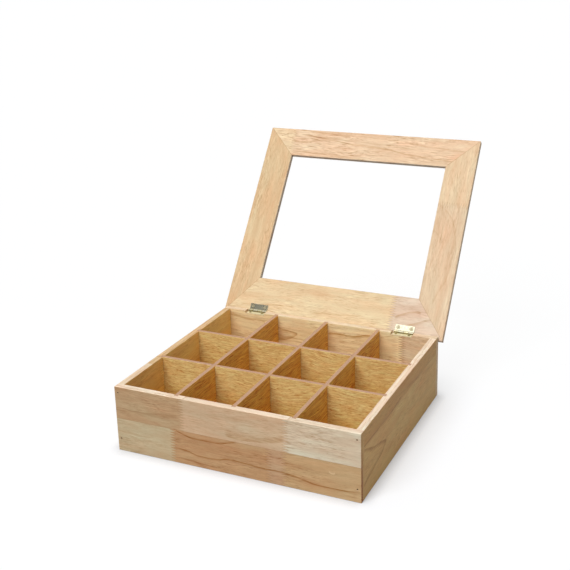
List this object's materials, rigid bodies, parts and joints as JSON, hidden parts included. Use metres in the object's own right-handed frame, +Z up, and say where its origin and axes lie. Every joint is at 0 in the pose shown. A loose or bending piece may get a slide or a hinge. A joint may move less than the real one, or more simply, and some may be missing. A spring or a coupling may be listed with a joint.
{
  "type": "tea bag organizer box",
  "caption": "Wooden tea bag box split into a grid of compartments by crossed dividers, with a windowed lid that swings back on two small brass hinges.",
  "frame": {"origin": "middle of the box body's flat underside, on the surface it stands on", "axes": "+Z up, +X to the right and +Y to the back, where the hinges are, seen from the front"},
  "size_m": [0.31, 0.4396, 0.2967],
  "materials": {
    "hardwood": "satin",
    "plywood": "matte",
    "brass": "polished",
    "steel": "satin",
    "clear_pane": "gloss"
  },
  "bodies": {
    "box": {"front_board": "hardwood", "back_board": "hardwood", "left_side_board": "hardwood", "right_side_board": "hardwood", "base_panel": "plywood", "long_divider_1": "plywood", "long_divider_2": "plywood", "long_divider_3": "plywood", "cross_divider_1": "plywood", "cross_divider_2": "plywood", "corner_brads": "steel", "base_brads": "steel", "left_hinge_rim_leaf": "brass", "left_hinge_pin": "brass", "right_hinge_rim_leaf": "brass", "right_hinge_pin": "brass", "rim_screws": "brass"},
    "lid": {"lid_front_rail": "hardwood", "lid_back_rail": "hardwood", "lid_left_stile": "hardwood", "lid_right_stile": "hardwood", "window_pane": "clear_pane", "mitre_splines": "plywood", "left_hinge_lid_leaf": "brass", "right_hinge_lid_leaf": "brass", "lid_screws": "brass"}
  },
  "joints": [
    {"name": "lid_hinge", "type": "hinge", "parent": "box", "child": "lid", "pos_m": [0, 0.13495, 0.0785], "axis": [1, 0, 0], "range_deg": [0, 126.73]}
  ]
}
